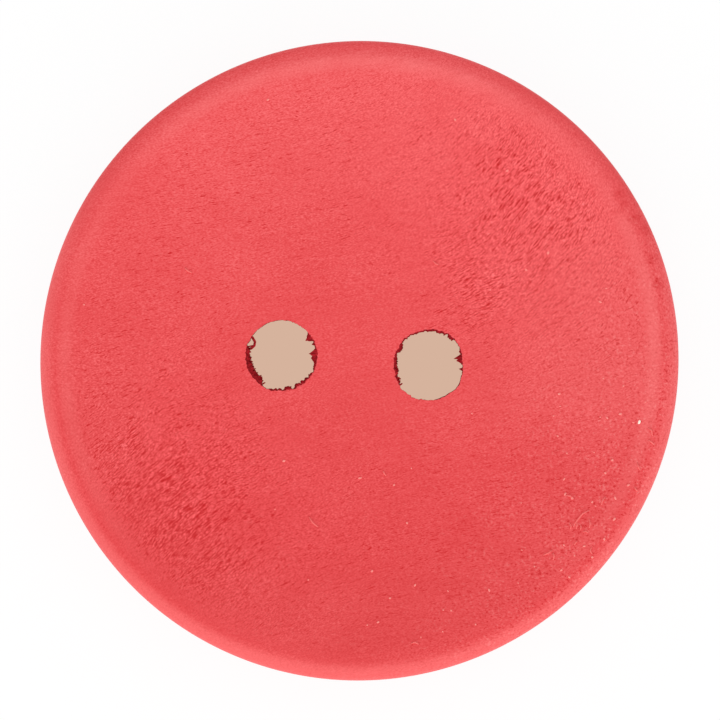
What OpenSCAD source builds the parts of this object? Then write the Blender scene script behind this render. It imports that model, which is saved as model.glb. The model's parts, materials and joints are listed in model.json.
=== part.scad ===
// Two-hole sew-through button, turned from one piece of wood.
// It lies on its flat back. Origin at the centre of the back, +Z up through the
// face, +X along the line of the two sewing holes. Millimetres.

/* [Disc] */
// Outside diameter of the button
button_d = 25; // [18:0.5:40]
// Thickness, from the flat back to the rim
button_t = 4; // [3:0.1:6]
// Depth of the shallow dish turned into the face
dish_depth = 0.6; // [0.2:0.05:1]

/* [Rim] */
// Width of the level land between the dish and the rounded edge
rim_land = 0.4; // [0.1:0.05:1]
// Radius of the rounded edge of the face
face_edge_r = 0.75; // [0.3:0.05:1.2]
// Radius of the rounded edge of the back
back_edge_r = 0.6; // [0.3:0.05:1.2]

/* [Sewing holes] */
// Diameter of each hole
hole_d = 2.8; // [1.5:0.1:3.5]
// Distance between the centres of the two holes
hole_pitch = 5.8; // [4.5:0.1:7]
// Shift of the pair of holes along their own line, off the centre of the disc
hole_pair_shift = -0.15; // [-0.3:0.05:0.3]

/* [Hidden] */

button_r = button_d / 2;
// The dish is part of a large ball that meets the face at the inside of the land
dish_r = button_r - face_edge_r - rim_land;
dish_ball_r = (dish_r * dish_r + dish_depth * dish_depth) / (2 * dish_depth);
// The cutters run past both faces by this much
cut_past = 1;
// Each hole's centre along X
hole_x = [for (side = [-1, 1]) hole_pair_shift + side * hole_pitch / 2];

$fn = 160;
// The dish is a small part of its ball, so the ball takes finer steps
dish_steps = 1440;

// Half of the turned section before dishing: a block with a round at each outer corner
module blank_section() {
    square([button_r - back_edge_r, back_edge_r]);
    translate([button_r - back_edge_r, back_edge_r])
        circle(r = back_edge_r);
    translate([0, back_edge_r])
        square([button_r, button_t - back_edge_r - face_edge_r]);
    translate([button_r - face_edge_r, button_t - face_edge_r])
        circle(r = face_edge_r);
    translate([0, button_t - face_edge_r])
        square([button_r - face_edge_r, face_edge_r]);
}

// The same section with the dish turned away
module turned_section() {
    difference() {
        blank_section();
        translate([0, button_t - dish_depth + dish_ball_r])
            circle(r = dish_ball_r, $fn = dish_steps);
    }
}

// One drill pass, from below the back to above the rim
module sewing_hole() {
    translate([0, 0, -cut_past])
        cylinder(d = hole_d, h = button_t + 2 * cut_past);
}

module button() {
    color([0.92, 0.33, 0.34])
        difference() {
            rotate_extrude()
                turned_section();
            for (x = hole_x)
                translate([x, 0, 0])
                    sewing_hole();
        }
}

button();
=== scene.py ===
# %% [markdown]
# # A dyed wooden button
#
# The object is one small turned disc: a two-hole sew-through button, dyed coral red.
# Its section is simple, so most of what the eye reads as wood comes from fine things:
# fibres torn where the dish cuts across their ends, ragged sewing holes, a paler crest
# and a little dust. Some light and shade is also painted into the dye. The lesson starts
# from the imported model, which gives the sizes.

import json
import math
import random

import bmesh
import bpy
from mathutils import Matrix, Vector, noise


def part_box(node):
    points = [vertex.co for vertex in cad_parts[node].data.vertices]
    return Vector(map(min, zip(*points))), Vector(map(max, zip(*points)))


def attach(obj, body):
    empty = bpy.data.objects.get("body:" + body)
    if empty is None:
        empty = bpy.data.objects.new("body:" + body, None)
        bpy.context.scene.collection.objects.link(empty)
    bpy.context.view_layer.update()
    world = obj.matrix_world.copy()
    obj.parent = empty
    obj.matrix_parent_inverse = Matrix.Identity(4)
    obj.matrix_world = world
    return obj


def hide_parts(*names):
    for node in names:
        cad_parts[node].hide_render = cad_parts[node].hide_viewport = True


MM = 0.001

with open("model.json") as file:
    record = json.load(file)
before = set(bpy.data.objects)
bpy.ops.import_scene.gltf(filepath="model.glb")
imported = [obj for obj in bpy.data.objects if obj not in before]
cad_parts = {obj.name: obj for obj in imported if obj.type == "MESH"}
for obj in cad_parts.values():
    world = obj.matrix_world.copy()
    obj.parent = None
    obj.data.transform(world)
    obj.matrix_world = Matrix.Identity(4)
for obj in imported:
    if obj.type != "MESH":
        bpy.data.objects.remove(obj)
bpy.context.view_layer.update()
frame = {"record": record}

# %% [markdown]
# ## Sizes
#
# The mesh is worked out in millimetres, because a button is small, and is turned to metres
# at the end. The outside sizes and the two bores come from the frame. The turned section's
# own sizes repeat the construction.

# %% Sizes from the frame
box_low, box_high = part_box("button")
disc_r = (box_high.x - box_low.x) / 2 / MM
disc_t = box_high.z / MM
bores = []
for mount in frame["record"]["mounts"]:
    if mount["kind"] == "bore":
        bores.append((Vector(mount["pos_m"]).to_2d() / MM, mount["dims"]["r_mm"]))
print("disc", round(disc_r, 2), "thick", round(disc_t, 2), "bores", [tuple(b[0]) for b in bores])

# %% Radii of the turned section
DISH_DEPTH = 0.6
RIM_LAND = 0.4
FACE_EDGE_R = 0.75
BACK_EDGE_R = 0.6

face_r = disc_r - FACE_EDGE_R
dish_r = face_r - RIM_LAND
back_r = disc_r - BACK_EDGE_R
ball_r = (dish_r ** 2 + DISH_DEPTH ** 2) / (2 * DISH_DEPTH)
print("face", round(face_r, 2), "dish", round(dish_r, 2), "back", round(back_r, 2), "ball", round(ball_r, 1))

# %% [markdown]
# ## The picture's frame
#
# The reference picture looks straight down on the face. Its outline circle gives the size of
# a pixel, and the line of the holes lies a few degrees off level there. With these, a point
# in the picture becomes a place on the button, so a mark can be put where it is seen.

# %% From the picture to the part
PICTURE_SIDE = 720
OUTLINE_R = 319.5
OUTLINE_CENTRE = (359.45, 360.75)
PICTURE_TURN = math.radians(3.64)

pixel = disc_r / OUTLINE_R


def from_picture(across, down):
    """The place on the button, in millimetres, of a point in the picture."""
    right = (across - OUTLINE_CENTRE[0]) * pixel
    up = (OUTLINE_CENTRE[1] - down) * pixel
    return Matrix.Rotation(PICTURE_TURN, 2) @ Vector((right, up))


print("one pixel is", round(pixel, 4), "mm")

# %% [markdown]
# ## The turned face as a formula
#
# The dish is part of a large ball. It could be spun from a profile, but a spun mesh has its
# cells in rings, and the grain needs cells along the fibres. So the face is a formula that
# any mesh can be lifted to. Where dish and land meet the real crest is rubbed soft, so the
# lower of the two heights is taken with a small blend between them.

# %% Height of the face
CREST_BLEND = 0.03


def ease(value, low, high):
    """0 below low, 1 above high, and a smooth rise between."""
    share = min(1.0, max(0.0, (value - low) / (high - low)))
    return share * share * (3 - 2 * share)


def face_height(r):
    """Height of the clean turned face at a distance from the middle."""
    dish = disc_t - DISH_DEPTH + ball_r - math.sqrt(ball_r ** 2 - r ** 2)
    share = min(1.0, max(0.0, 0.5 + (disc_t - dish) / (2 * CREST_BLEND)))
    return disc_t + (dish - disc_t) * share - CREST_BLEND * share * (1 - share)


print("face heights:", [round(face_height(r), 3) for r in (0, disc_r / 2, dish_r, face_r)])

# %% [markdown]
# ## Which way the wood runs
#
# The fibres cross the disc on a slant, and turn up toward both ends of the grain axis. Far to
# its sides they turn up less. They also wander and crinkle. Straight stripes would be simpler,
# but would look printed. A point's place along and across the fibres is what every pattern
# below is drawn on, so relief and colour agree.

# %% Grain coordinates
GRAIN_ANGLE = math.radians(43)
FIBRE_SLANT = 0.56
FAR_BEND, NEAR_BEND = 0.04, 0.032
BEND_LOST, BEND_FROM, BEND_TO = 0.6, 3.0, 9.0
# How far the fibres stray, then the length and the width of one stray
WANDER, WANDER_LONG, WANDER_WIDE = 0.2, 2.6, 1.7
CRINKLE, CRINKLE_LONG, CRINKLE_WIDE = 0.035, 0.4, 0.35
grain_axis = Vector((math.cos(GRAIN_ANGLE), math.sin(GRAIN_ANGLE)))


def along_across(x, y):
    """Distances along and across the straight grain axis."""
    return x * grain_axis.x + y * grain_axis.y, y * grain_axis.x - x * grain_axis.y


def grain_noise(along, across, length, width, layer):
    """A noise in cells of a length and a width. Each pattern takes a layer of its own."""
    return noise.noise((along / length, across / width, layer))


def fibre_place(x, y):
    """The same two distances, following the slant, bend, wander and crinkle of the fibres."""
    along, across = along_across(x, y)
    bend = (FAR_BEND if along > 0 else NEAR_BEND) * along * abs(along)
    bend *= 1 - BEND_LOST * ease(abs(across), BEND_FROM, BEND_TO)
    wander = WANDER * grain_noise(along, across, WANDER_LONG, WANDER_WIDE, layer=11)
    crinkle = CRINKLE * grain_noise(along, across, CRINKLE_LONG, CRINKLE_WIDE, layer=3)
    return along, across + FIBRE_SLANT * along - bend + wander + crinkle


print("grain place of the right bore:", [round(c, 2) for c in fibre_place(*bores[-1][0])])

# %% [markdown]
# ## Where the grain is torn
#
# On a dish the cutter meets the fibres' ends only at the two ends of the grain axis. There
# the wood tears into short fine grooves, in a wedge that widens toward the rim and bends a
# little with the fibres. The grooves are deep and close in the middle of the wedge, and fade
# out in clusters at its edges. Everywhere else the cut runs along the fibres, and only a few
# faint grooves are left toward the rim. One share from 0 up says all this, for mesh and dye.

# %% How torn a place is
TORN_FROM, TORN_FULL, TORN_SHIFT = 2.5, 7.0, 1.0
WEDGE_TURN, WEDGE_MIDDLE = 0.2, 9.0
WEDGE_NECK, WEDGE_SPREAD, WEDGE_LEAST, WEDGE_SOFT = -1.1, 0.5, 0.5, 3
TORN_REST, REST_RISE = 0.1, (2.0, 8.0)
TORN_FALL, TORN_NEAR = (10.5, 11.4), 0.5
CLUSTER_LONG, CLUSTER_WIDE, RAGGED = 1.2, 0.8, 0.55


def torn_share(x, y):
    """How torn the face is at a place: 0 where it is smooth, about 1 in the middle of a wedge."""
    along, across = along_across(x, y)
    out = abs(along)
    off_middle = across - WEDGE_TURN * (along - math.copysign(WEDGE_MIDDLE, along))
    half_width = max(WEDGE_LEAST, WEDGE_NECK + WEDGE_SPREAD * out)
    wedge = ease(out + math.copysign(TORN_SHIFT, along), TORN_FROM, TORN_FULL)
    wedge /= 1 + abs(off_middle / half_width) ** WEDGE_SOFT
    r = math.hypot(x, y)
    level = max(wedge, TORN_REST * ease(r, *REST_RISE))
    cluster = grain_noise(along, across, CLUSTER_LONG, CLUSTER_WIDE, layer=5)
    share = min(1.0, max(0.0, level + RAGGED * cluster * math.sqrt(level)))
    share *= 1 + TORN_NEAR * ease(-along, TORN_FULL, WEDGE_MIDDLE)
    return share * (1 - ease(r, *TORN_FALL))


print("torn share in a wedge:", round(torn_share(*(grain_axis * WEDGE_MIDDLE)), 2))

# %% Height of the torn strands
STRAND_LONG, STRAND_PITCH, STRAND_GAIN = 0.4, 0.1, 2.0
WISP_LONG, WISP_PITCH, WISP_SHARE = 0.18, 0.07, 0.4


def strands(along, across, share):
    """Height of the torn fibres at a place: below 0 in a groove, above 0 on a lifted tuft."""
    weave = grain_noise(along, across, STRAND_LONG, STRAND_PITCH, layer=0)
    weave += WISP_SHARE * grain_noise(along, across, WISP_LONG, WISP_PITCH, layer=7)
    return share * min(1.0, max(-1.0, STRAND_GAIN * weave))


# %% [markdown]
# ## A sheet that follows the grain
#
# Face and back both start as a flat grid of long narrow cells laid along the fibres, because
# a groove is longer than it is wide. Cells in the torn places and round the holes are divided
# again, so the rest can stay light. What lies outside the circle or inside a hole is deleted,
# and the stepped edge that is left is moved on to the true circle.

# %% Helpers for edges
HOLE_FRINGE = 0.35


def boundary(bm):
    """The edges of a sheet that have a face on one side only."""
    return [edge for edge in bm.edges if len(edge.link_faces) == 1]


def near_bore(edge, centre, radius):
    """True for an edge that lies on a bore's outline."""
    middle = (edge.verts[0].co + edge.verts[1].co) / 2
    return (middle.to_2d() - centre).length < radius + HOLE_FRINGE


# %% Make a trimmed sheet
FINE_CUTS = 2
MERGE = 0.012


def snap_to_circles(verts, radius, hole_radius):
    """Moves the vertices of a stepped edge on to the outline or on to the edge of their hole."""
    for vert in verts:
        for index, (centre, bore_r) in enumerate(bores):
            out = vert.co.to_2d() - centre
            if out.length < bore_r + HOLE_FRINGE:
                vert.co.xy = centre + out.normalized() * hole_radius(index, math.atan2(out.y, out.x))
                break
        else:
            vert.co.xy = vert.co.to_2d().normalized() * radius


def grain_sheet(radius, cell_along, cell_across, hole_radius, is_fine):
    """A flat round sheet with holes, in cells along the grain.

    hole_radius gives a hole's radius at an angle, and is_fine says where cells are divided.
    """
    bm = bmesh.new()
    half = radius + cell_along
    bmesh.ops.create_grid(
        bm,
        x_segments=round(2 * half / cell_along),
        y_segments=round(2 * half / cell_across),
        size=half,
    )
    bmesh.ops.rotate(bm, verts=bm.verts, cent=(0, 0, 0), matrix=Matrix.Rotation(GRAIN_ANGLE, 3, "Z"))
    fine = {face for face in bm.faces if is_fine(face.calc_center_median())}
    fine_edges = [edge for edge in bm.edges if any(face in fine for face in edge.link_faces)]
    bmesh.ops.subdivide_edges(bm, edges=fine_edges, cuts=FINE_CUTS, use_grid_fill=True)
    cut_away = []
    for face in bm.faces:
        middle = face.calc_center_median().to_2d()
        in_bore = any((middle - centre).length < bore_r for centre, bore_r in bores)
        if middle.length > radius or in_bore:
            cut_away.append(face)
    bmesh.ops.delete(bm, geom=cut_away, context="FACES")
    rim = list(dict.fromkeys(vert for edge in boundary(bm) for vert in edge.verts))
    snap_to_circles(rim, radius, hole_radius)
    bmesh.ops.remove_doubles(bm, verts=rim, dist=MERGE)
    return bm


# %% [markdown]
# ## The face
#
# A hole's edge is drilled across soft fibres, so its radius wanders by a few hundredths of a
# millimetre, and some sides are tighter or wider than others. Noise gives the wander, and a
# short list gives the sides that can be seen. The sheet is then lifted to the turned height,
# and the torn fibres stand in a relief that only raking light shows.

# %% Ragged edge of a hole
EDGE_WANDER = 0.035
# Waves of the edge: how many to a turn, and their strength
EDGE_WAVES = ((2.3, 1.0), (8.0, 0.8), (20.0, 1.1))
# How far apart the two holes' noises lie
EDGE_APART = 3.0
# Sides of each hole that are tight, or wide if below 0: angle and half width in degrees, millimetres
HOLE_FLATS = (
    ((60, 30, 0.03), (268, 20, 0.05), (190, 60, -0.025)),
    ((4, 42, 0.11), (285, 40, 0.04), (190, 80, -0.04)),
)


def off_angle(angle, middle):
    """How far an angle in radians is from one in degrees, in degrees."""
    return abs((math.degrees(angle) - middle + 180) % 360 - 180)


def ragged_radius(index, angle):
    """Radius of a hole's edge on the face at an angle."""
    turn = Vector((math.cos(angle), math.sin(angle), EDGE_APART * index))
    wander = sum(strength * noise.noise(turn * waves) for waves, strength in EDGE_WAVES)
    radius = bores[index][1] + EDGE_WANDER * wander
    for middle, half_width, flat in HOLE_FLATS[index]:
        radius -= flat * (1 - ease(off_angle(angle, middle), 0, half_width))
    return radius


print("hole radii to the right:", [round(ragged_radius(index, 0.0), 3) for index in range(len(bores))])

# %% Make the face sheet
FACE_CELL = (0.27, 0.09)
RELIEF = 0.0008
FUZZ, FUZZ_LONG, FUZZ_WIDE = 0.004, 0.8, 0.25
FINE_SHARE = 0.4
FINE_ROUND_HOLE = 0.4


def round_a_hole(place):
    """True close to a bore or in it."""
    return any((place - centre).length < bore_r + FINE_ROUND_HOLE for centre, bore_r in bores)


def fine_on_face(place):
    """True where the face needs the small cells."""
    return round_a_hole(place.to_2d()) or torn_share(place.x, place.y) > FINE_SHARE


def face_relief(x, y):
    """Height of the grain above the clean turned face."""
    along, across = fibre_place(x, y)
    fuzz = grain_noise(along, across, FUZZ_LONG, FUZZ_WIDE, layer=4)
    stands = max(0.0, min(1.0, torn_share(x, y)) - FINE_SHARE)
    return FUZZ * fuzz + RELIEF * strands(along, across, stands)


button = grain_sheet(face_r, *FACE_CELL, ragged_radius, fine_on_face)
for vert in button.verts:
    r = vert.co.to_2d().length
    settle = 1 - ease(r, dish_r, face_r)
    vert.co.z = face_height(min(r, face_r)) + settle * face_relief(vert.co.x, vert.co.y)
print("face sheet:", len(button.faces), "faces")

# %% [markdown]
# ## The rim
#
# The rest of the section is drawn out from the face's own edge, so that no seam is left to
# close: each step extrudes the open edge and moves it to the next radius and height, round
# the rolled edge, down the side and under to the flat back.

# %% Section of the rim
EDGE_STEPS = 8
SIDE_STEPS = 3
BACK_STEPS = 5


def rim_section():
    """Radius and height of each ring, from the face to the back."""
    rings = []
    for step in range(1, EDGE_STEPS + 1):
        turn = math.pi / 2 * step / EDGE_STEPS
        rings.append((face_r + FACE_EDGE_R * math.sin(turn), disc_t - FACE_EDGE_R * (1 - math.cos(turn))))
    for step in range(1, SIDE_STEPS + 1):
        drop = (disc_t - FACE_EDGE_R - BACK_EDGE_R) * step / SIDE_STEPS
        rings.append((disc_r, disc_t - FACE_EDGE_R - drop))
    for step in range(1, BACK_STEPS + 1):
        turn = math.pi / 2 * step / BACK_STEPS
        rings.append((back_r + BACK_EDGE_R * math.cos(turn), BACK_EDGE_R * (1 - math.sin(turn))))
    return rings


print("rim of", len(rim_section()), "rings")


# %% Draw out the rim
def draw_out(bm, edges, move):
    """Extrudes open edges once, moves each new vertex, and returns the new open edges."""
    made = bmesh.ops.extrude_edge_only(bm, edges=edges)["geom"]
    for vert in made:
        if isinstance(vert, bmesh.types.BMVert):
            move(vert)
    return [item for item in made if isinstance(item, bmesh.types.BMEdge)]


outer = [e for e in boundary(button) if not any(near_bore(e, *bore) for bore in bores)]
for ring_r, ring_z in rim_section():

    def to_ring(vert):
        vert.co = (vert.co.to_2d().normalized() * ring_r).to_3d() + Vector((0, 0, ring_z))

    outer = draw_out(button, outer, to_ring)
print("rim of", len(outer), "columns")

# %% [markdown]
# ## The bores
#
# A drill leaves torn fibres standing in the bore, more on the sides where it leaves across
# the grain. Cutting clean cylinders would lose that, so each bore's open edge is divided once
# more and drawn down in rings. A torn band tells how far the wall stands in over a stretch of
# angles, fine noise frays it, and a splinter is a single point of wall drawn out toward the
# middle. Their places follow what is seen from above.

# %% Torn walls of the bores
# Each torn band: middle angle and half width in degrees, reach in millimetres
TORN_BANDS = (
    (
        (184, 18, 0.15), (207, 20, 0.2), (226, 14, 0.2), (265, 14, 0.07),
        (284, 8, 0.12), (306, 14, 0.12), (324, 14, 0.08), (348, 12, 0.08), (28, 16, 0.06),
    ),
    (
        (136, 12, 0.05), (155, 10, 0.13), (184, 24, 0.15), (206, 12, 0.1),
        (100, 38, 0.06), (75, 14, 0.08), (56, 8, 0.1), (20, 14, 0.05),
    ),
)
BAND_FLAT, BAND_END = 0.4, 1.2
# Each splinter: angle and half width in degrees, reach and depth in millimetres
SPLINTERS = (
    (
        (36, 10, 0.3, 0.15), (24, 5, 0.16, 0.22), (8, 10, 0.36, 0.15),
        (0, 16, 0.26, 0.22), (200, 6, 0.28, 0.3), (218, 7, 0.3, 0.22),
    ),
    (
        (18, 6, 0.36, 0.15), (13, 10, 0.24, 0.15), (-4, 4, 0.16, 0.22),
        (149, 5, 0.19, 0.15), (156, 4, 0.24, 0.3), (57, 6, 0.15, 0.22),
    ),
)
SPLINTER_THICK = 0.11
FRAY_SIZE, FRAY_DEEP, FRAY_APART = 0.075, 0.125, 40
FRAY_PLAIN, FRAY_TORN = 0.018, 0.75
SWELL_BY, SWELL_LOST, SWELL_FALL = 0.12, 0.7, (0.4, 1.6)


def stands_in(index, angle, depth):
    """How far the torn wall of a bore stands in at an angle and a depth."""
    band = 0.0
    for middle, half_width, reach in TORN_BANDS[index]:
        off = off_angle(angle, middle)
        band = max(band, reach * (1 - ease(off, BAND_FLAT * half_width, BAND_END * half_width)))
    around = Vector((math.cos(angle), math.sin(angle))) * bores[index][1] / FRAY_SIZE
    fray = noise.noise((around.x, around.y, depth / FRAY_DEEP + FRAY_APART * index))
    swell = ease(depth, 0.0, SWELL_BY) * (1 - SWELL_LOST * ease(depth, *SWELL_FALL))
    wall = swell * (band * (1 + FRAY_TORN * fray) + FRAY_PLAIN * max(0.0, fray))
    for middle, half_width, reach, level in SPLINTERS[index]:
        point = max(0.0, 1 - off_angle(angle, middle) / half_width)
        point *= max(0.0, 1 - abs(depth - level) / SPLINTER_THICK)
        wall = max(wall, reach * point)
    return wall


# %% Draw down the bores
BORE_DEPTHS = (0.04, 0.09, 0.15, 0.22, 0.3, 0.4, 0.55, 0.8, 1.2, 1.7, 2.3, 2.9)

open_bores = []
for index, (centre, bore_r) in enumerate(bores):
    edge_of_hole = [e for e in boundary(button) if near_bore(e, centre, bore_r)]
    bmesh.ops.subdivide_edges(button, edges=edge_of_hole, cuts=1)
    edges = [e for e in boundary(button) if near_bore(e, centre, bore_r)]
    hole_z = face_height(centre.length)
    for depth in BORE_DEPTHS:

        def to_wall(vert):
            out = vert.co.to_2d() - centre
            angle = math.atan2(out.y, out.x)
            wall_r = ragged_radius(index, angle) - stands_in(index, angle, depth)
            vert.co = (centre + out.normalized() * wall_r).to_3d() + Vector((0, 0, hole_z - depth))

        edges = draw_out(button, edges, to_wall)
    open_bores.append(edges)
    print("bore", index, "of", len(edges), "columns")

# %% [markdown]
# ## The back
#
# The back lies on the cloth and is plain, sanded wood. It could be one flat face, but then
# its grain would have no cells to sit on. So it is a second sheet with coarser cells, laid
# under the first, and the open edges of rim and bores are bridged to its own.

# %% Make the back sheet
BACK_CELL = (0.45, 0.15)
BACK_SHEET_INSET = 0.35
BACK_FUZZ, BACK_LONG, BACK_WIDE = 0.004, 0.9, 0.3


def fine_on_back(place):
    """True round the holes only."""
    return round_a_hole(place.to_2d())


back = grain_sheet(back_r - BACK_SHEET_INSET, *BACK_CELL, ragged_radius, fine_on_back)
for vert in back.verts:
    along, across = fibre_place(vert.co.x, vert.co.y)
    vert.co.z = BACK_FUZZ * (1 + grain_noise(along, across, BACK_LONG, BACK_WIDE, layer=8))
print("back sheet:", len(back.faces), "faces")


# %% Close the shell
def take_in(bm, other):
    """Adds a second bmesh to the first, by way of a mesh that is removed again."""
    carrier = bpy.data.meshes.new("carrier")
    other.to_mesh(carrier)
    other.free()
    bm.from_mesh(carrier)
    bpy.data.meshes.remove(carrier)


known = set(button.edges)
take_in(button, back)
back_edges = [e for e in boundary(button) if e not in known]
for edges, bore in zip(open_bores, bores):
    bmesh.ops.bridge_loops(button, edges=edges + [e for e in back_edges if near_bore(e, *bore)])
back_rim = [e for e in back_edges if e.is_valid and not any(near_bore(e, *bore) for bore in bores)]
bmesh.ops.bridge_loops(button, edges=outer + back_rim)
bmesh.ops.recalc_face_normals(button, faces=button.faces)
print("open edges left:", len(boundary(button)))

# %% [markdown]
# ## Loose fibres
#
# A fibre is a thin round strand. A curve with a bevel would do, but a strand has to become
# part of the button's own mesh, so a small circle is made across its path and drawn out from
# point to point, and both ends are filled. One fibre curls out of the left hole's wall, and
# short frayed ends stand along the torn bands. The same helper makes the lint later.

# %% A strand along points
STRAND_SIDES = 5
STRAND_TIP = 0.6


def strand(bm, points, radius):
    """A thin closed tube along points, a little thinner at its ends."""
    known = set(bm.faces)
    last = len(points) - 1
    rings = []
    for number, point in enumerate(points):
        ahead = points[min(number + 1, last)] - points[max(number - 1, 0)]
        turn = ahead.to_track_quat("Z", "Y").to_matrix().to_4x4()
        thick = STRAND_TIP if number in (0, last) else 1.0
        rings.append(Matrix.Translation(point) @ turn @ Matrix.Scale(thick, 4))
    first = bmesh.ops.create_circle(bm, segments=STRAND_SIDES, radius=radius, matrix=rings[0])["verts"]
    edges = list(dict.fromkeys(edge for vert in first for edge in vert.link_edges))
    start = edges
    for before, after in zip(rings, rings[1:]):
        step = after @ before.inverted()

        def to_next(vert):
            vert.co = step @ vert.co

        edges = draw_out(bm, edges, to_next)
    bmesh.ops.holes_fill(bm, edges=start + edges, sides=STRAND_SIDES)
    bmesh.ops.recalc_face_normals(bm, faces=[face for face in bm.faces if face not in known])


# %% The curl in the left hole
# Its path in the picture, and its depth under the face at each point in millimetres
CURL_PATH = (
    (248.5, 333.5), (252.3, 337.3), (254.8, 341.5), (254.2, 345.3),
    (251.3, 348), (247.5, 349), (244, 350),
)
CURL_DEPTHS = (0.1, 0.12, 0.16, 0.2, 0.24, 0.28, 0.3)
CURL_R = 0.055

curl_points = []
for spot, depth in zip(CURL_PATH, CURL_DEPTHS):
    place = from_picture(*spot)
    curl_points.append(place.to_3d() + Vector((0, 0, face_height(place.length) - depth)))
strand(button, curl_points, CURL_R)
print("curl of", len(curl_points), "points, open edges:", len(boundary(button)))

# %% A frayed end
END_LONG, END_LEAN = (-0.02, 0.06), 0.9
END_DEPTH, END_ROOT = (0.08, 0.35), 0.05
END_STEPS = (0.0, 0.5, 0.8, 1.0)
fray_chance = random.Random(3)


def frayed_end(index, angle, reach):
    """Points of a fibre that leaves a bore's wall at an angle and leans to one side."""
    centre, bore_r = bores[index]
    out = Vector((math.cos(angle), math.sin(angle)))
    aside = Vector((-out.y, out.x)) * fray_chance.uniform(-END_LEAN, END_LEAN)
    length = reach + fray_chance.uniform(*END_LONG)
    root = centre + out * (bore_r + END_ROOT)
    depth = fray_chance.uniform(*END_DEPTH)
    points = []
    for share in END_STEPS:
        place = root - (length + END_ROOT) * (share * out - share ** 2 * aside / 2)
        points.append(place.to_3d() + Vector((0, 0, face_height(centre.length) - depth)))
    return points


# %% Frayed ends along the torn bands
# How many for each millimetre that a band reaches in, and their least and greatest radius
ENDS_PER_REACH = 16
END_R = (0.025, 0.045)

ends = 0
frayed = bmesh.new()
for index, bands in enumerate(TORN_BANDS):
    for middle, half_width, reach in bands:
        for _ in range(round(ENDS_PER_REACH * reach)):
            angle = math.radians(middle + half_width * fray_chance.uniform(-1, 1))
            strand(frayed, frayed_end(index, angle, reach), fray_chance.uniform(*END_R))
            ends += 1
take_in(button, frayed)
print("frayed ends:", ends, "open edges:", len(boundary(button)))

# %% [markdown]
# ## What the finish and the painted light need to know
#
# Wear, dye and painted light differ from place to place. An image could hold that, but vertices are close
# enough here to carry it, and then it can't slide. One layer is the place in the fibres. The
# other has three numbers. The first is light and dark: strands, nicks in the rim, painted shade
# along the far edge, which faces away from the lamp, and a darker patch above the holes. The second is how
# pale the
# place is: the crest is paler on its right and far sides and a little on the left, the near
# edge and both sides carry a painted highlight, dust lies on the right, and the face is a little paler toward
# the near rim. The third is how torn it is.

# %% Pale places
CREST_RISE, CREST_FALL, CREST_PALE = (11.1, 11.5), (11.62, 11.97), 0.22
CREST_SHIFT, CREST_DROP = 0.14, (0.3, 0.05)
# Sides where the crest is paler: angle and half width in degrees, strength
CREST_SIDES = ((5, 52, 0.8), (95, 54, 1.0), (184, 46, 0.6))
PATCHY, PATCHES_PER_MM, PATCH_LAYER = 0.6, 1.1, 2
# Painted highlight on the rounded edge: strongest on the near side toward the lamp, also on both sides, none
# on the far side
EDGE_HIGHLIGHT_RISE, EDGE_LOW, EDGE_HIGHLIGHT_SIDES, EDGE_HIGHLIGHT = (11.85, 12.3), (0.8, 3.2), (-0.4, 0.8), 0.24
# The side where the painted highlight on the edge reaches furthest in, toward the lamp, how far, and how
# narrow that side is
EDGE_HIGHLIGHT_TOWARD, EDGE_HIGHLIGHT_SHIFT, EDGE_HIGHLIGHT_FOCUS = math.radians(272), 0.19, 4
DUSTY_RISE, DUSTY_MIDDLE, DUSTY_END, DUSTY_PALE = (2.0, 10.0), 2.0, (2.0, 6.0), 0.12
# The face is a little paler toward the near rim
NEAR_RIM_RISE, NEAR_RIM_SIDE, NEAR_RIM_PALE = (7.0, 10.0), (-0.4, 0.3), 0.045


def paleness_and_highlight(x, y, z):
    """How pale a place is, from 0 to 1: crest, dust, a paler near rim and the painted highlight on the edge.
    """
    r = math.hypot(x, y)
    angle = math.atan2(y, x)
    toward = max(0.0, math.cos(angle - EDGE_HIGHLIGHT_TOWARD)) ** EDGE_HIGHLIGHT_FOCUS
    # edge is a painted highlight on the outer edge, reaching furthest in toward the lamp and missing on the
    # far side
    edge = ease(r + EDGE_HIGHLIGHT_SHIFT * toward, *EDGE_HIGHLIGHT_RISE) * ease(z, *EDGE_LOW) * (1 - ease(y / r, *EDGE_HIGHLIGHT_SIDES))
    near_rim = ease(r, *NEAR_RIM_RISE) * (1 - ease(r, *CREST_FALL)) * (1 - ease(y / r, *NEAR_RIM_SIDE))
    r -= CREST_SHIFT * y / r
    inside = 1 - ease(r, *CREST_FALL)
    crest = ease(r, *CREST_RISE) * inside * ease(z, *(disc_t - drop for drop in CREST_DROP))
    crest *= max(s * math.sqrt(1 - ease(off_angle(angle, mid), 0, half)) for mid, half, s in CREST_SIDES)
    crest *= 1 + PATCHY * noise.noise((x * PATCHES_PER_MM, y * PATCHES_PER_MM, PATCH_LAYER))
    dusty = ease(x, *DUSTY_RISE) * (1 - ease(abs(y - DUSTY_MIDDLE), *DUSTY_END)) * inside
    return CREST_PALE * crest + DUSTY_PALE * dusty + EDGE_HIGHLIGHT * edge + NEAR_RIM_PALE * near_rim


print("paleness of the right crest:", round(paleness_and_highlight(dish_r, 0.0, disc_t), 2))

# %% Dark places
# Painted shade along the far edge, which faces away from the lamp, darkest at the very brink
FAR_SHADE_RISE, FAR_SHADE_SIDE, FAR_SHADE_DARK = (11.9, 12.35), (0.2, 0.7), 1.9
BRINK_SHADE_RISE, BRINK_SHADE_DARK = (12.25, 12.45), 2.4
# A darker patch above the holes: its middle in the picture, and its radius
DARK_PATCH_SPOT, DARK_PATCH_R, DARK_PATCH_DARK = (325, 262), 3.8, 0.9
# Nicks on the rounded edge: places in the picture, and their size in millimetres
RIM_NICKS = ((617, 196), (622, 207), (634, 220), (645, 230), (651, 260), (657, 284))
NICK_SIZE, NICK_FLAT, NICK_DARK = 0.34, 0.2, 2.6

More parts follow.
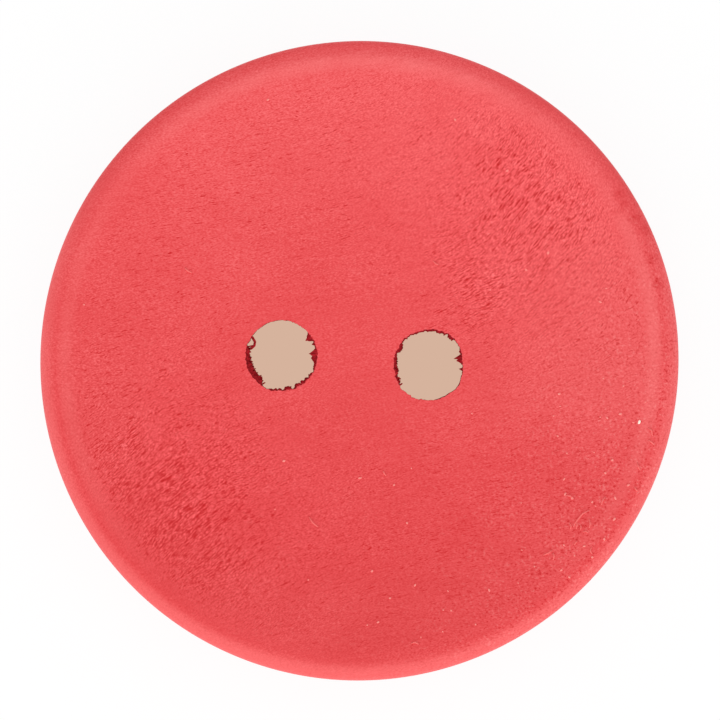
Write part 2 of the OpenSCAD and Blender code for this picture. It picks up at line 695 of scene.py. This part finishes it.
dark_patch_place = from_picture(*DARK_PATCH_SPOT)
nick_places = [from_picture(*spot) for spot in RIM_NICKS]


def painted_shade(x, y, z):
    """How much painted shade darkens the far edge at a place, the side that faces away from the lamp."""
    r = math.hypot(x, y)
    dark = FAR_SHADE_DARK * ease(r, *FAR_SHADE_RISE) + BRINK_SHADE_DARK * ease(r, *BRINK_SHADE_RISE)
    return dark * ease(y / r, *FAR_SHADE_SIDE) * ease(z, *EDGE_LOW)


def dark_patch(place):
    """How much the patch above the holes is darkened at a place."""
    return DARK_PATCH_DARK * (1 - ease((place - dark_patch_place).length, 0, DARK_PATCH_R))


def nicked(place):
    """How dark the nicks of the rim are at a place."""
    nearest = min((place - nick_place).length for nick_place in nick_places)
    return NICK_DARK * (1 - ease(nearest, NICK_FLAT * NICK_SIZE, NICK_SIZE))


print("pooled dye at the far edge:", round(painted_shade(0.0, disc_r, disc_t), 2))

# %% Keep grain, finish and painted light on the vertices
STRAND_SHARE = 0.3
FACE_SPARE = 0.1

grain_layer = button.verts.layers.float_vector.new("grain")
finish_and_light_layer = button.verts.layers.float_vector.new("finish_and_light")
for vert in button.verts:
    x, y, z = vert.co
    along, across = fibre_place(x, y)
    on_face = z > disc_t - DISH_DEPTH - FACE_SPARE
    share = torn_share(x, y) if on_face else 0.0
    # The first number adds the strands, the painted shade of the far edge, the nicks and a darker patch
    height = STRAND_SHARE * strands(along, across, share) - painted_shade(x, y, z)
    if on_face:
        height -= nicked(vert.co.to_2d()) + dark_patch(vert.co.to_2d())
    vert[grain_layer] = (along, across, z)
    vert[finish_and_light_layer] = (height, paleness_and_highlight(x, y, z), share)
print("finish on", len(button.verts), "vertices")

# %% [markdown]
# ## The finished mesh
#
# The bores get a material of their own, because the drill leaves bare wood that drank more
# dye and took no lacquer. Wood moves as it dries, so the disc is a few hundredths of a
# millimetre longer one way: one stretch of the whole mesh gives that. Then the mesh goes to
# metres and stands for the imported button.

# %% Bare faces in the bores
LACQUERED, BARE = 0, 1
BORE_SPARE = 3 * EDGE_WANDER
WALL_FROM = 0.02

for face in button.faces:
    middle = face.calc_center_median()
    in_bore = any((middle.to_2d() - centre).length < bore_r + BORE_SPARE for centre, bore_r in bores)
    on_wall = WALL_FROM < middle.z < face_height(middle.to_2d().length) - WALL_FROM
    face.material_index = BARE if in_bore and on_wall else LACQUERED
print("bare faces:", sum(face.material_index == BARE for face in button.faces))

# %% From mesh to piece
OVAL_SHARE, OVAL_ANGLE = 0.0028, math.radians(60)
SHARP_ANGLE = math.radians(50)

oval_turn = Matrix.Rotation(OVAL_ANGLE, 4, "Z")
oval = oval_turn @ Matrix.Diagonal((1 + OVAL_SHARE, 1 - OVAL_SHARE, 1, 1)) @ oval_turn.inverted()
bmesh.ops.transform(button, matrix=oval, verts=button.verts)
bmesh.ops.scale(button, vec=(MM, MM, MM), verts=button.verts)
button_mesh = bpy.data.meshes.new("button_turned")
button.to_mesh(button_mesh)
button.free()
button_mesh.shade_smooth()
button_mesh.set_sharp_from_angle(angle=SHARP_ANGLE)
wood_button = bpy.data.objects.new("button_turned", button_mesh)
bpy.context.scene.collection.objects.link(wood_button)
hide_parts("button")
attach(wood_button, "root")
button_mesh.calc_loop_triangles()
print("button:", len(button_mesh.loop_triangles), "triangles")

# %% [markdown]
# ## Dyed wood
#
# Close-grained wood such as birch, dyed through and left with a thin matt coat. The eye sees
# an even coral red with a fine speckle of fibre ends, fainter lines along the fibres, dark
# grooves where it is torn, pale flecks of raised fuzz and dark pores on one side and a paler
# crest. The side and the back were only sanded, so the lines show more there. A picture of
# wood would repeat and show its own light, so the patterns are noises stretched along the
# fibres. One number, the tone, adds up the small changes and picks the shade of dye. Painted
# light goes into it too: the face is painted lighter toward the far side and darker toward the
# near side, the far edge gets painted shade, and the grooves are darkened partly by painted
# shade.


# %% Helpers for materials
def srgb(text):
    """A hex colour as the linear numbers that shaders take."""
    parts = [int(text[i:i + 2], 16) / 255 for i in (1, 3, 5)]
    return [p / 12.92 if p <= 0.04045 else ((p + 0.055) / 1.055) ** 2.4 for p in parts] + [1.0]


def add_node(tree, kind, inputs=None, **settings):
    """Adds a node, sets its properties, and links or sets its inputs. A node links by its first output."""
    node = tree.nodes.new("ShaderNode" + kind)
    for name, value in settings.items():
        setattr(node, name, value)
    for name, value in (inputs or {}).items():
        if isinstance(value, bpy.types.Node):
            value = value.outputs[0]
        if isinstance(value, bpy.types.NodeSocket):
            tree.links.new(value, node.inputs[name])
        else:
            node.inputs[name].default_value = value
    return node


def new_material(name):
    """A node material with nothing in it yet."""
    material = bpy.data.materials.new(name)
    material.use_nodes = True
    material.node_tree.nodes.clear()
    return material


# %% Patterns of the wood
# A birch fibre is about 0.025 mm wide, too fine to show here. So speckles and marks are drawn as small
# bundles of fibres, and lines as wide as a row of pores. Lengths and widths are in millimetres.
SPECKLE_LONG, SPECKLE_WIDE = 0.08, 0.045
MARK_LONG, MARK_WIDE = 0.3, 0.032
LINE_LONG, LINE_WIDE = 1.8, 0.09
LINE_ANGLE = GRAIN_ANGLE - math.atan(FIBRE_SLANT)
FLECK, CLUMP, CLOUD = 0.1, 0.8, 3.0
PATTERN_DETAIL = 1.0


def wood_noise(tree, grain, length, width, depth):
    """A noise stretched along the fibres, from the size of its cells."""
    at = add_node(tree, "VectorMath", {0: grain, 1: (1 / length, 1 / width, 1 / depth)}, operation="MULTIPLY")
    return add_node(tree, "TexNoise", {"Vector": at, "Scale": 1.0, "Detail": PATTERN_DETAIL})


dyed_wood = new_material("dyed_birch")
tree = dyed_wood.node_tree
grain = add_node(tree, "Attribute", attribute_name="grain").outputs["Vector"]
finish_and_light = add_node(tree, "Attribute", attribute_name="finish_and_light").outputs["Vector"]
# The first number holds strands, nicks, a darker patch and the painted shade of the far edge; the second
# holds pale places and the painted highlight of the edge
marks_and_shade, pale, torn = add_node(tree, "SeparateXYZ", {0: finish_and_light}).outputs
place = add_node(tree, "TexCoord").outputs["Object"]
speckle = wood_noise(tree, grain, SPECKLE_LONG, SPECKLE_WIDE, SPECKLE_WIDE)
mark = wood_noise(tree, grain, MARK_LONG, MARK_WIDE, MARK_LONG)
cloud = wood_noise(tree, grain, CLOUD, CLOUD, CLOUD)
line_at = add_node(tree, "Mapping", {
    "Vector": place,
    "Rotation": (0, 0, LINE_ANGLE),
    "Scale": (LINE_LONG * MM, LINE_WIDE * MM, LINE_WIDE * MM),
}, vector_type="TEXTURE")
line = add_node(tree, "TexNoise", {"Vector": line_at, "Scale": 1.0, "Detail": PATTERN_DETAIL})
fleck = add_node(tree, "TexNoise", {"Vector": place, "Scale": 1 / (FLECK * MM), "Detail": PATTERN_DETAIL})
clump = add_node(tree, "TexNoise", {"Vector": place, "Scale": 1 / (CLUMP * MM), "Detail": PATTERN_DETAIL})
print("patterns:", len(tree.nodes), "nodes")

# %% Torn grooves, closer together and darker where the wood is more torn
MARK_FROM, MARK_FULL, MARK_SPARSE = 0.56, 0.65, 0.08

raised = add_node(tree, "Math", {0: torn, 1: MARK_SPARSE, 2: mark}, operation="MULTIPLY_ADD")
shown = add_node(tree, "MapRange", {
    "Value": raised,
    "From Min": MARK_FROM + MARK_SPARSE,
    "From Max": MARK_FULL + MARK_SPARSE,
}, interpolation_type="SMOOTHSTEP")
depth = add_node(tree, "Math", {0: torn}, operation="SQRT")
# A groove is darker partly from dye taken up by the torn fibres and partly from painted shade in it
groove = add_node(tree, "Math", {0: shown, 1: depth}, operation="MULTIPLY")

# %% The side, where lines show more and speckle less
LINE_TONE, SIDE_LINE_TONE, SIDE_SPECKLE = 0.15, 0.5, 0.5

grain_z = add_node(tree, "SeparateXYZ", {0: grain}).outputs["Z"]
side = add_node(tree, "MapRange", {
    "Value": grain_z,
    "From Min": disc_t - FACE_EDGE_R,
    "From Max": disc_t - 2 * FACE_EDGE_R,
})
line_share = add_node(tree, "MapRange", {"Value": side, "To Min": LINE_TONE, "To Max": SIDE_LINE_TONE})
side_speckle = add_node(tree, "MapRange", {"Value": side, "To Min": 1.0, "To Max": SIDE_SPECKLE})

# %% How strong the speckle is
SPECKLE_TONE, SPECKLE_TORN = 0.76, 0.8
CLOUD_FROM, CLOUD_TO, CLOUD_LEAST, CLOUD_MOST = 0.35, 0.65, 0.8, 1.2

cloudy = add_node(tree, "MapRange", {
    "Value": cloud,
    "From Min": CLOUD_FROM,
    "From Max": CLOUD_TO,
    "To Min": CLOUD_LEAST * SPECKLE_TONE,
    "To Max": CLOUD_MOST * SPECKLE_TONE,
})
rough = add_node(tree, "Math", {0: torn, 1: SPECKLE_TORN, 2: 1.0}, operation="MULTIPLY_ADD")
speckle_share = add_node(tree, "Math", {0: cloudy, 1: side_speckle}, operation="MULTIPLY")
speckle_share = add_node(tree, "Math", {0: speckle_share, 1: rough}, operation="MULTIPLY")

# %% Pores and flecks, on one side of the face
FUZZY_WAY = Vector((0.94, -0.34, 0.0))
FUZZY_FROM, FUZZY_TO, FUZZY_LEAST, FUZZY_MOST = 0.45, 0.9, 0.08, 0.35
PORE_FROM, PORE_FULL = 0.42, 0.25
FLECK_FROM, FLECK_FULL, CLUMP_SHARE = 0.58, 0.75, 0.25
NOISE_MIDDLE = 0.5

fuzzy_side = add_node(tree, "VectorMath", {0: place, 1: FUZZY_WAY / (disc_r * MM)}, operation="DOT_PRODUCT")
fuzzy = add_node(tree, "MapRange", {
    "Value": fuzzy_side.outputs["Value"],
    "From Min": FUZZY_FROM,
    "From Max": FUZZY_TO,
    "To Min": FUZZY_LEAST,
    "To Max": FUZZY_MOST,
})
on_top = add_node(tree, "Math", {0: 1.0, 1: side}, operation="SUBTRACT")
fuzzy = add_node(tree, "Math", {0: fuzzy, 1: on_top}, operation="MULTIPLY")
pore = add_node(tree, "MapRange", {"Value": fleck, "From Min": PORE_FROM, "From Max": PORE_FULL})
pore = add_node(tree, "Math", {0: pore, 1: fuzzy}, operation="MULTIPLY")
off_clump = add_node(tree, "Math", {0: clump, 1: NOISE_MIDDLE}, operation="SUBTRACT")
clumped = add_node(tree, "Math", {0: off_clump, 1: CLUMP_SHARE, 2: fleck}, operation="MULTIPLY_ADD")
fleck_share = add_node(tree, "MapRange", {"Value": clumped, "From Min": FLECK_FROM, "From Max": FLECK_FULL})
fleck_share = add_node(tree, "Math", {0: fleck_share, 1: fuzzy}, operation="MULTIPLY")

# %% Tone of the dye
TONE_EVEN = 0.5
# The groove tone darkens the grooves: partly dye in the torn fibres, partly painted shade
CLOUD_TONE, GROOVE_TONE, TORN_TONE, PORE_TONE = 0.15, -1.9, 0.035, -1.5
# Painted light: the tone rises toward the far side, so the face is painted lighter there and darker on the
# near side, as the dish's slopes under the low near lamp would be lit
PAINTED_GRADIENT_TONE, MARKS_AND_SHADE_TONE = 0.155, 0.07
PAINTED_GRADIENT_WAY = Vector((0.12, 1.0, 0.0))

painted_light_gradient = add_node(tree, "VectorMath", {0: place, 1: PAINTED_GRADIENT_WAY / (disc_r * MM)}, operation="DOT_PRODUCT")
tone = TONE_EVEN
for value, share, middle in (
    (speckle, speckle_share, NOISE_MIDDLE),
    (line, line_share, NOISE_MIDDLE),
    (cloud, CLOUD_TONE, NOISE_MIDDLE),
    (groove, GROOVE_TONE, 0.0),
    (torn, TORN_TONE, 0.0),
    (pore, PORE_TONE, 0.0),
    (painted_light_gradient.outputs["Value"], PAINTED_GRADIENT_TONE, 0.0),
    (marks_and_shade, MARKS_AND_SHADE_TONE, 0.0),
):
    off = add_node(tree, "Math", {0: value, 1: middle}, operation="SUBTRACT")
    tone = add_node(tree, "Math", {0: off, 1: share, 2: tone}, operation="MULTIPLY_ADD")

# %% Colour of the dyed wood
DYE_DARK, DYE_EVEN, DYE_LIGHT = "#C81016", "#E64C4F", "#FF7678"
# The pale colour serves the crest, the dust, the near rim and the painted highlight on the edge
FLECK_COLOUR, PALE_AND_HIGHLIGHT_COLOUR = "#FF9A96", "#FF8A88"

dye = add_node(tree, "ValToRGB", {"Fac": tone})
shades = dye.color_ramp.elements
shades[0].color = srgb(DYE_DARK)
shades[1].color = srgb(DYE_LIGHT)
shades.new(TONE_EVEN).color = srgb(DYE_EVEN)
flecked = add_node(tree, "Mix", {0: fleck_share, 6: dye, 7: srgb(FLECK_COLOUR)}, data_type="RGBA")
# This mix lays the pale places and also the painted highlight of the near edge and sides
paled_and_highlit = add_node(tree, "Mix", {0: pale, 6: flecked.outputs[2], 7: srgb(PALE_AND_HIGHLIGHT_COLOUR)}, data_type="RGBA")

# %% Surface of the dyed wood
FLECK_RISE = 3.0
BUMP_STRENGTH, BUMP_HEIGHT = 0.055, 0.02

height = add_node(tree, "Math", {0: speckle, 1: line}, operation="ADD")
height = add_node(tree, "Math", {0: height, 1: groove}, operation="SUBTRACT")
height = add_node(tree, "Math", {0: fleck_share, 1: FLECK_RISE, 2: height}, operation="MULTIPLY_ADD")
bump = add_node(tree, "Bump", {
    "Height": height,
    "Strength": BUMP_STRENGTH,
    "Distance": BUMP_HEIGHT * MM,
})
wood = add_node(tree, "BsdfPrincipled", {
    "Base Color": paled_and_highlit.outputs[2],
    "Roughness": 0.5,
    "IOR": 1.5,
    "Specular IOR Level": 0.2,
    "Normal": bump,
})
add_node(tree, "OutputMaterial", {0: wood})
button_mesh.materials.append(dyed_wood)
print("material:", dyed_wood.name, len(tree.nodes), "nodes")

# %% [markdown]
# ## Bare wood in the bores
#
# Torn end grain soaks up dye and has no coat, so it is dark red and quite dull. A plain dark
# red would look painted, so a stretched noise along the fibres breaks it up into darker and
# brighter threads.

# %% Bare wood material
THREAD_LONG, THREAD_WIDE = 0.3, 0.06
THREAD_FROM, THREAD_FULL = 0.35, 0.7
SOAKED_DARK, SOAKED_LIGHT = "#7E0E14", "#B42029"

bare_wood = new_material("bare_dyed_birch")
tree = bare_wood.node_tree
grain = add_node(tree, "Attribute", attribute_name="grain").outputs["Vector"]
thread = wood_noise(tree, grain, THREAD_LONG, THREAD_WIDE, THREAD_WIDE)
thread = add_node(tree, "MapRange", {"Value": thread, "From Min": THREAD_FROM, "From Max": THREAD_FULL})
soaked = add_node(tree, "Mix", {0: thread, 6: srgb(SOAKED_DARK), 7: srgb(SOAKED_LIGHT)}, data_type="RGBA")
bare = add_node(tree, "BsdfPrincipled", {
    "Base Color": soaked.outputs[2],
    "Roughness": 0.85,
    "IOR": 1.5,
    "Specular IOR Level": 0.1,
})
add_node(tree, "OutputMaterial", {0: bare})
button_mesh.materials.append(bare_wood)
print("material:", bare_wood.name, len(tree.nodes), "nodes")

# %% [markdown]
# ## Dust and lint
#
# The matt face holds dust: short cotton hairs, pale grains and one chalky chip. A fleck in the
# material would lie flat, so these are real shapes, seated on the surface. The hairs and the
# grains that stand out are at their places in the picture, and smaller grains are scattered
# by chance, most of them on the lower right. All are a piece of their own, so that a clean
# button only needs it hidden.

# %% What lies where
# Hairs: their paths in the picture, and their radius in millimetres
HAIRS = (
    ((185, 268), (188, 271), (192, 273)),
    ((433, 261), (436, 264), (439, 265)),
    ((309, 517), (313, 523), (318, 527)),
    ((383, 471), (384, 473), (386, 476)),
    ((411, 643), (415, 642), (419, 644)),
    ((543, 555), (548, 553), (552, 550)),
    ((553, 553), (554, 556), (553, 560)),
    ((573, 527), (575, 523), (578, 519), (582, 514), (589, 510)),
    ((576, 521), (577, 525), (576, 529)),
    ((569, 523), (571, 526), (570, 529)),
    ((580, 525), (581, 527), (580, 530)),
    ((583, 532), (586, 531), (588, 533)),
    ((574, 545), (575, 543), (577, 541)),
    ((601, 505), (602, 501), (605, 497)),
    ((634, 487), (636, 490), (638, 491)),
    ((637, 463), (638, 467), (640, 470)),
    ((648, 440), (651, 442), (654, 445)),
    ((589, 519), (590, 524), (589, 528)),
    ((565, 495), (570, 496), (574, 499)),
    ((591, 547), (590, 551), (592, 554)),
    ((648, 428), (651, 430), (652, 436)),
)
HAIR_R = 0.036
# Grains that stand out: their places in the picture, and their least and greatest size
SPECKS = (
    (455, 120), (268, 100), (507, 171), (526, 270), (600, 302), (548, 253),
    (559, 394), (360, 478), (394, 485), (407, 523), (372, 571), (390, 598),
    (415, 585), (378, 622), (489, 590), (284, 461), (572, 498), (612, 460),
    (564, 479), (565, 494), (605, 473), (628, 485), (615, 498), (592, 502),
    (614, 519), (604, 539), (584, 546), (592, 557), (561, 570), (569, 577),
    (620, 414), (607, 418),
)
SPECK_LONG, SPECK_WIDE = (0.1, 0.16), (0.07, 0.1)
# The one large pale chip by the right rim: its place in the picture, turn and size
CHIP_SPOT, CHIP_TURN = (639, 422), math.radians(75)
CHIP_LONG, CHIP_WIDE = 0.17, 0.1

# %% Helpers for dust
LINT, GRAIN, CHALK = 0, 1, 2
GRAIN_ROUND = 2


def seat(place):
    """A place on the face or on its rounded edge, at the height of the surface there."""
    past = min(1.0, max(0.0, (place.length - face_r) / FACE_EDGE_R))
    drop = FACE_EDGE_R * (1 - math.sqrt(1 - past ** 2))
    return place.to_3d() + Vector((0, 0, face_height(min(place.length, face_r)) - drop))


def add_grain(bm, place, length, width, turn, kind):
    """A small rounded grain lying on the surface."""
    size = Matrix.Diagonal((length / 2, width / 2, width / 2, 1))
    lying = Matrix.Translation(seat(place)) @ Matrix.Rotation(turn, 4, "Z") @ size
    known = set(bm.faces)
    bmesh.ops.create_icosphere(bm, subdivisions=GRAIN_ROUND, radius=1, matrix=lying)
    for face in bm.faces:
        if face not in known:
            face.material_index = kind


# %% Lay the hairs and the grains that stand out
chance = random.Random(7)
dust = bmesh.new()
for path in HAIRS:
    spots = [from_picture(*spot) for spot in path]
    strand(dust, [seat(spot) + Vector((0, 0, HAIR_R / 2)) for spot in spots], HAIR_R)
for face in dust.faces:
    face.material_index = LINT
for spot in SPECKS:
    turn = chance.uniform(-math.pi, math.pi)
    length = chance.uniform(*SPECK_LONG)
    width = chance.uniform(*SPECK_WIDE)
    add_grain(dust, from_picture(*spot), length, width, turn, GRAIN)
print("dust:", len(HAIRS), "hairs and", len(SPECKS), "grains that stand out")

# %% Scatter the small grains and add the chip
# How many, their least and greatest size in millimetres, and the side where they gather
GRAIN_COUNT = 32
GRAIN_LONG, GRAIN_WIDE = (0.06, 0.1), (0.045, 0.07)
GATHER_WAY, GATHER_FROM, GATHER_REST = Vector((0.8, -0.6)), 4.0, 0.02


def gathers_dust(place):
    """A yes or no by chance: never by a bore, and most often on the side where dust gathers."""
    share = GATHER_REST + ease(place.dot(GATHER_WAY), GATHER_FROM, dish_r)
    return not round_a_hole(place) and chance.random() < share


laid = 0
while laid < GRAIN_COUNT:
    turn = chance.uniform(-math.pi, math.pi)
    place = Vector((math.cos(turn), math.sin(turn))) * dish_r * math.sqrt(chance.random())
    if gathers_dust(place):
        length = chance.uniform(*GRAIN_LONG)
        width = chance.uniform(*GRAIN_WIDE)
        add_grain(dust, place, length, width, turn, GRAIN)
        laid += 1
add_grain(dust, from_picture(*CHIP_SPOT), CHIP_LONG, CHIP_WIDE, CHIP_TURN, CHALK)
print("dust:", laid, "small grains and a chip")

# %% Dust as a piece
# Lint is cotton that took up dye, a grain is sanding dust and the chip is chalk: all quite dull
DUST_COLOURS = {"pink_lint": "#F4716F", "pale_grain": "#F88E88", "chalk_grain": "#FFF0E0"}

bmesh.ops.scale(dust, vec=(MM, MM, MM), verts=dust.verts)
dust_mesh = bpy.data.meshes.new("dust")
dust.to_mesh(dust_mesh)
dust.free()
dust_mesh.shade_smooth()
for name, colour in DUST_COLOURS.items():
    material = new_material(name)
    fluff = add_node(material.node_tree, "BsdfPrincipled", {
        "Base Color": srgb(colour),
        "Roughness": 0.9,
        "Specular IOR Level": 0.1,
    })
    add_node(material.node_tree, "OutputMaterial", {0: fluff})
    dust_mesh.materials.append(material)
dust_piece = bpy.data.objects.new("dust", dust_mesh)
bpy.context.scene.collection.objects.link(dust_piece)
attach(dust_piece, "root")
print("dust:", len(dust_mesh.polygons), "faces")

# %% [markdown]
# ## Floor
#
# A white floor with most of its light its own toward the camera, so that it stays white and
# still takes the soft shadow. More lamps could whiten it too, but they would bleach the
# button. A beige paper round lies under the button and shows through the two holes only.


# %% Helpers for the stage
def seen_directly(tree):
    """1 for rays that show a surface to the camera, in glass or in a mirror, and 0 for other rays."""
    path = add_node(tree, "LightPath").outputs
    seen = path["Is Camera Ray"]
    for kind in ("Is Glossy Ray", "Is Transmission Ray"):
        seen = add_node(tree, "Math", {0: seen, 1: path[kind]}, operation="MAXIMUM")
    return seen


def stage_material(name, colour, own_light):
    """A matt surface that shows part of its colour to the camera without any lamp."""
    material = new_material(name)
    tree = material.node_tree
    share = add_node(tree, "Math", {0: seen_directly(tree), 1: own_light}, operation="MULTIPLY")
    matt = add_node(tree, "BsdfDiffuse", {"Color": srgb(colour)})
    glow = add_node(tree, "Emission", {"Color": srgb(colour), "Strength": 1.0})
    mixed = add_node(tree, "MixShader", {0: share, 1: matt, 2: glow})
    add_node(tree, "OutputMaterial", {0: mixed})
    return material


# %% Floor and backing paper
FLOOR_R, PAPER_R = 400, 5.5
FLOOR_Z, PAPER_Z = -0.02, -0.01
FLOOR_COLOUR, PAPER_COLOUR = "#FFFFFF", "#D6B39D"
FLOOR_LIGHT, PAPER_LIGHT = 0.92, 1.0
STAGE_SIDES = 96


def stage_round(name, radius, z, material):
    """A flat round of the stage, its sizes in millimetres."""
    bm = bmesh.new()
    bmesh.ops.create_circle(bm, cap_ends=True, segments=STAGE_SIDES, radius=radius * MM)
    bmesh.ops.translate(bm, vec=(0, 0, z * MM), verts=bm.verts)
    mesh = bpy.data.meshes.new(name)
    bm.to_mesh(mesh)
    bm.free()
    mesh.materials.append(material)
    piece = bpy.data.objects.new(name, mesh)
    bpy.context.scene.collection.objects.link(piece)
    print("stage:", name, radius, "mm")


stage_round("floor", FLOOR_R, FLOOR_Z, stage_material("white_sweep", FLOOR_COLOUR, FLOOR_LIGHT))
stage_round("backing_paper", PAPER_R, PAPER_Z, stage_material("beige_paper", PAPER_COLOUR, PAPER_LIGHT))

# %% [markdown]
# ## Light
#
# Soft white light from all round does most of the work, as in a light tent. One long lamp,
# low on the near side, rakes the fibres, and brightens the near edge, both sides and the far
# slope of the dish. A lamp from above would flatten the grain.

# %% World
AMBIENT = 0.94

world = bpy.data.worlds.new("light_tent")
bpy.context.scene.world = world
world.use_nodes = True
tree = world.node_tree
tree.nodes.clear()
level = add_node(tree, "MapRange", {"Value": seen_directly(tree), "To Min": AMBIENT, "To Max": 1.0})
sky = add_node(tree, "Background", {"Color": srgb("#FFFFFF"), "Strength": level})
add_node(tree, "OutputWorld", {0: sky})
print("light from all round:", AMBIENT)

# %% Lamp, its sizes in metres
LAMP_TURN, LAMP_RISE, LAMP_AWAY = math.radians(272), math.radians(22), 0.25
LAMP_WIDE, LAMP_TALL, LAMP_WATTS = 0.6, 0.12, 0.35

lamp = bpy.data.lights.new("near_softbox", "AREA")
lamp.shape = "RECTANGLE"
lamp.size = LAMP_WIDE
lamp.size_y = LAMP_TALL
lamp.energy = LAMP_WATTS
softbox = bpy.data.objects.new("near_softbox", lamp)
level_way = Vector((math.cos(LAMP_TURN), math.sin(LAMP_TURN), 0))
lamp_way = level_way * math.cos(LAMP_RISE) + Vector((0, 0, math.sin(LAMP_RISE)))
softbox.location = lamp_way * LAMP_AWAY
softbox.rotation_euler = lamp_way.to_track_quat("Z", "Y").to_euler()
bpy.context.scene.collection.objects.link(softbox)
print("lamp at", [round(c, 3) for c in softbox.location])

# %% [markdown]
# ## Camera
#
# A long lens on a copy stand, straight above the face, so that the walls of the two holes
# hardly show. Its height sets the disc's share of the frame, which is measured at the height
# of the widest ring.

# %% Camera
CAMERA_LENS = 800
SENSOR = 36
CLIP_END = 10

camera_data = bpy.data.cameras.new("copy_stand")
camera_data.lens = CAMERA_LENS
camera_data.sensor_width = SENSOR
camera_data.clip_end = CLIP_END
camera = bpy.data.objects.new("copy_stand", camera_data)
rise = pixel * PICTURE_SIDE * CAMERA_LENS / SENSOR
middle = from_picture(PICTURE_SIDE / 2, PICTURE_SIDE / 2)
camera.location = Vector((middle.x, middle.y, rise + disc_t - FACE_EDGE_R)) * MM
camera.rotation_euler = (0, 0, PICTURE_TURN)
bpy.context.scene.collection.objects.link(camera)
bpy.context.scene.camera = camera
bpy.context.scene.view_settings.view_transform = "Standard"
print("camera height in mm:", round(camera.location.z / MM, 1))
